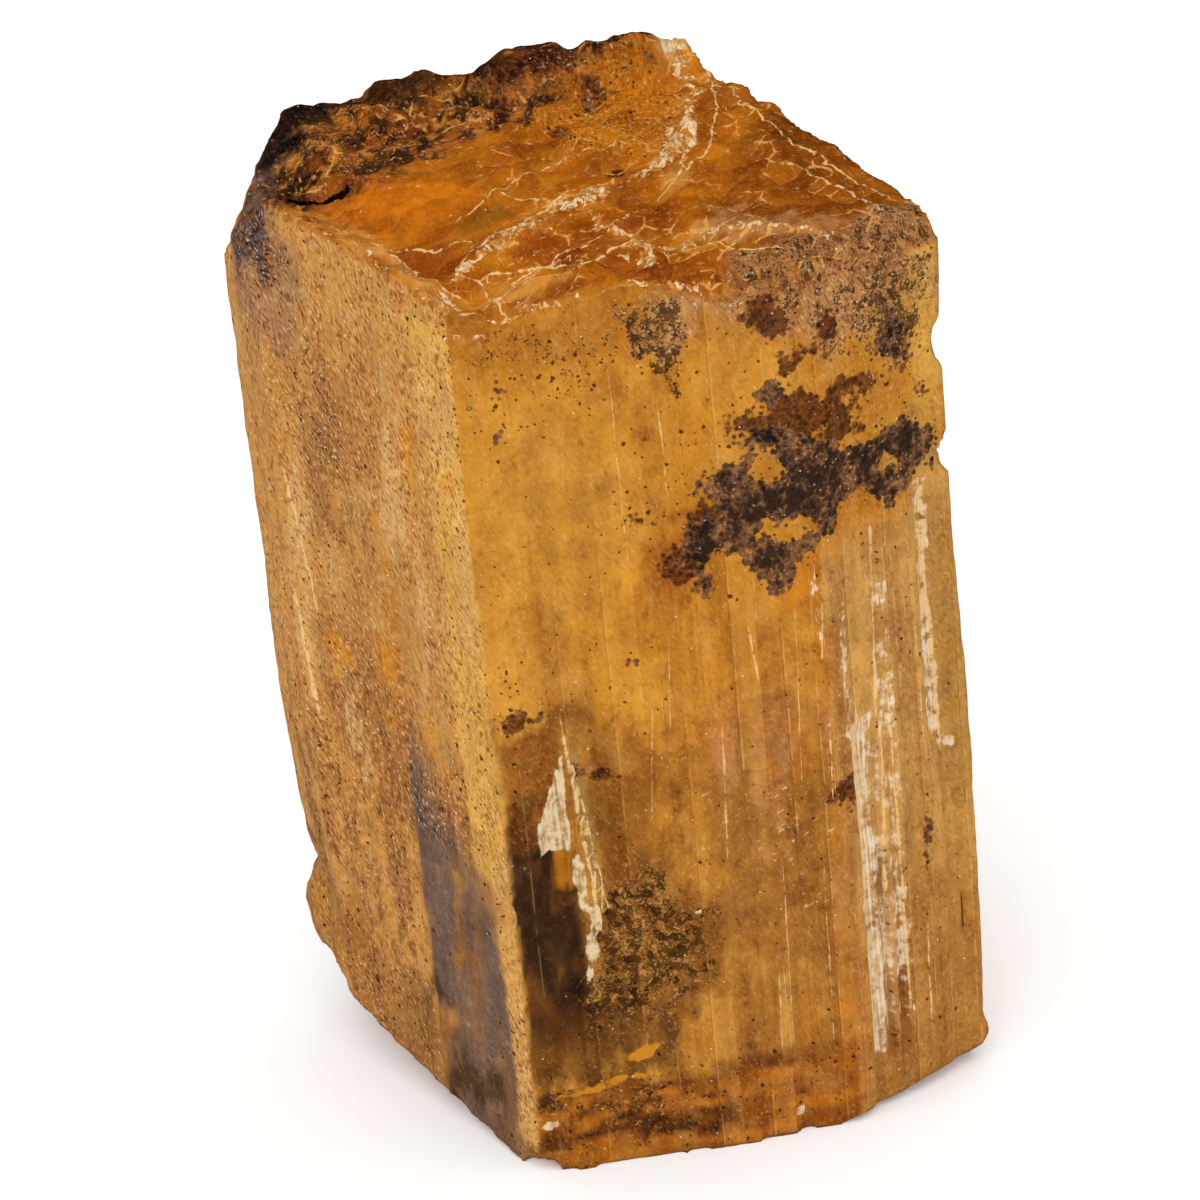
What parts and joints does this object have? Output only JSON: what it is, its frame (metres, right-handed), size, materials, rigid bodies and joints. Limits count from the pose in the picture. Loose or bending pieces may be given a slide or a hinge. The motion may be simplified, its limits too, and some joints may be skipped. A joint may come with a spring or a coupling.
{
  "type": "topaz crystal",
  "caption": "Stubby striated prism of honey-brown topaz, broken flat across both ends, with a dark crust along the back rim of its top.",
  "frame": {"origin": "centre of the bounding box in plan, at the height of the broken base the crystal stands on", "axes": "+Z along the crystal's long axis, up from the broken base; the broad striated front face looks toward -Y, and +X runs along it to the right"},
  "size_m": [0.0416, 0.028, 0.0645],
  "materials": {
    "topaz": "polished"
  },
  "bodies": {
    "root": {"topaz_crystal": "topaz"}
  },
  "joints": []
}
